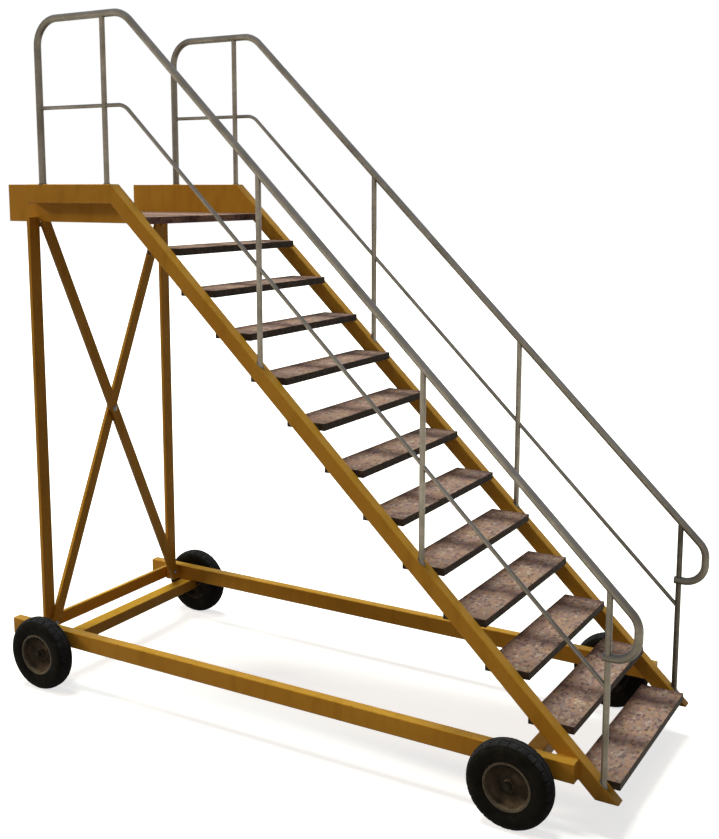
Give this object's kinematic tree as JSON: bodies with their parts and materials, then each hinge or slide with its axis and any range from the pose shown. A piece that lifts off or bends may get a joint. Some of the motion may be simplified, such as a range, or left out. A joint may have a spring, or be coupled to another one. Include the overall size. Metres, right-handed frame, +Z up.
{
  "type": "rolling warehouse ladder",
  "caption": "Wheeled steel stair with a platform, tube handrails with hand loops, anti-slip treads and a cross-braced rear frame, on pneumatic wheels.",
  "frame": {"origin": "middle of the bounding box on the floor, where the tyres stand", "axes": "+Y the way the stair climbs, +X to the right of someone climbing, +Z up"},
  "size_m": [1.4706, 3.5839, 3.615],
  "materials": {
    "frame_paint": "worn satin yellow",
    "rail_tube": "dull galvanised",
    "tread": "brown anti-slip grit",
    "tyre": "matt",
    "rim": "dull",
    "bright_steel": "plated",
    "bush": "plain"
  },
  "bodies": {
    "frame": {"base_rail_left": "frame_paint", "base_rail_right": "frame_paint", "brace_bolt": "bright_steel", "brace_front": "frame_paint", "brace_rear": "frame_paint", "front_axle": "bright_steel", "front_axle_beam": "frame_paint", "front_left_axle_nut": "bright_steel", "front_right_axle_nut": "bright_steel", "handrail_left": "rail_tube", "handrail_right": "rail_tube", "lower_upright_left": "rail_tube", "lower_upright_right": "rail_tube", "mid_rail_left": "rail_tube", "mid_rail_right": "rail_tube", "middle_upright_left": "rail_tube", "middle_upright_right": "rail_tube", "platform_deck": "tread", "platform_rail_left": "frame_paint", "platform_rail_right": "frame_paint", "platform_upright_left": "rail_tube", "platform_upright_right": "rail_tube", "rear_axle": "bright_steel", "rear_axle_beam": "frame_paint", "rear_left_axle_nut": "bright_steel", "rear_post_left": "frame_paint", "rear_post_right": "frame_paint", "rear_right_axle_nut": "bright_steel", "rear_tie": "frame_paint", "step_01": "tread", "step_02": "tread", "step_03": "tread", "step_04": "tread", "step_05": "tread", "step_06": "tread", "step_07": "tread", "step_08": "tread", "step_09": "tread", "step_10": "tread", "step_11": "tread", "step_12": "tread", "stringer_left": "frame_paint", "stringer_right": "frame_paint", "toe_board_left": "frame_paint", "toe_board_right": "frame_paint", "upper_upright_left": "rail_tube", "upper_upright_right": "rail_tube"},
    "front_left_wheel": {"front_left_bush": "bush", "front_left_rim": "rim", "front_left_tyre": "tyre"},
    "front_right_wheel": {"front_right_bush": "bush", "front_right_rim": "rim", "front_right_tyre": "tyre"},
    "rear_left_wheel": {"rear_left_bush": "bush", "rear_left_rim": "rim", "rear_left_tyre": "tyre"},
    "rear_right_wheel": {"rear_right_bush": "bush", "rear_right_rim": "rim", "rear_right_tyre": "tyre"}
  },
  "joints": [
    {"name": "front_left_wheel_spin", "type": "hinge", "parent": "frame", "child": "front_left_wheel", "pos_m": [-0.6853, -1.2766, 0.201], "axis": [1, 0, 0], "continuous": true},
    {"name": "front_right_wheel_spin", "type": "hinge", "parent": "frame", "child": "front_right_wheel", "pos_m": [0.6853, -1.2766, 0.201], "axis": [1, 0, 0], "continuous": true},
    {"name": "rear_left_wheel_spin", "type": "hinge", "parent": "frame", "child": "rear_left_wheel", "pos_m": [-0.6853, 1.501, 0.201], "axis": [1, 0, 0], "continuous": true},
    {"name": "rear_right_wheel_spin", "type": "hinge", "parent": "frame", "child": "rear_right_wheel", "pos_m": [0.6853, 1.501, 0.201], "axis": [1, 0, 0], "continuous": true}
  ]
}
